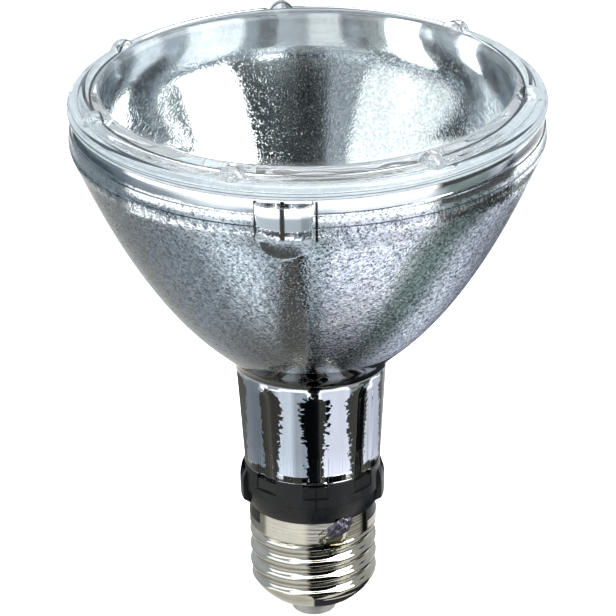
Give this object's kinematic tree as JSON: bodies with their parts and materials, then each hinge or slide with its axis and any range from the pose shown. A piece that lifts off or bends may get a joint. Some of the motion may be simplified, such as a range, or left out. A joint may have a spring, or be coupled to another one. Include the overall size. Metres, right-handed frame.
{
  "type": "par spotlight bulb",
  "caption": "Reflector spotlight lamp with a clear front lens, stippled mirrored bowl, fluted neck, black collar and medium screw cap.",
  "frame": {"origin": "foot of the centre contact, on the lamp's axis", "axes": "+Z along the lamp's axis from the cap to the front lens; -Y is the side with the rim's lug"},
  "size_m": [0.0954, 0.0962, 0.119],
  "materials": {
    "lens_glass": "clear, smooth",
    "mirrored_glass": "aluminised inside, stippled, clear at the rim",
    "black_plastic": "satin moulded black",
    "nickel_plate": "bright nickel plate on brass",
    "solder": "dull grey solder",
    "black_glass": "black glass, glossy",
    "contact_metal": "tinned, dull",
    "quartz": "clear quartz",
    "alumina": "translucent white alumina",
    "lead_wire": "drawn wire",
    "getter_metal": "grey pressed strip",
    "foil": "thin molybdenum foil",
    "cement": "off-white set cement",
    "sleeve": "woven glass fibre"
  },
  "bodies": {
    "root": {"front_lens": "lens_glass", "reflector": "mirrored_glass", "collar": "black_plastic", "cap_shell": "nickel_plate", "side_solder": "solder", "cap_insulator": "black_glass", "centre_contact": "contact_metal", "contact_solder": "solder", "burner_bulb": "quartz", "arc_tube": "alumina", "upper_lead": "lead_wire", "lower_lead": "lead_wire", "return_wire": "lead_wire", "getter": "getter_metal", "foil_left": "foil", "foil_right": "foil", "pin_left": "lead_wire", "pin_right": "lead_wire", "burner_cement": "cement", "contact_lead": "lead_wire", "lead_sleeve": "sleeve", "shell_lead": "lead_wire"}
  },
  "joints": []
}
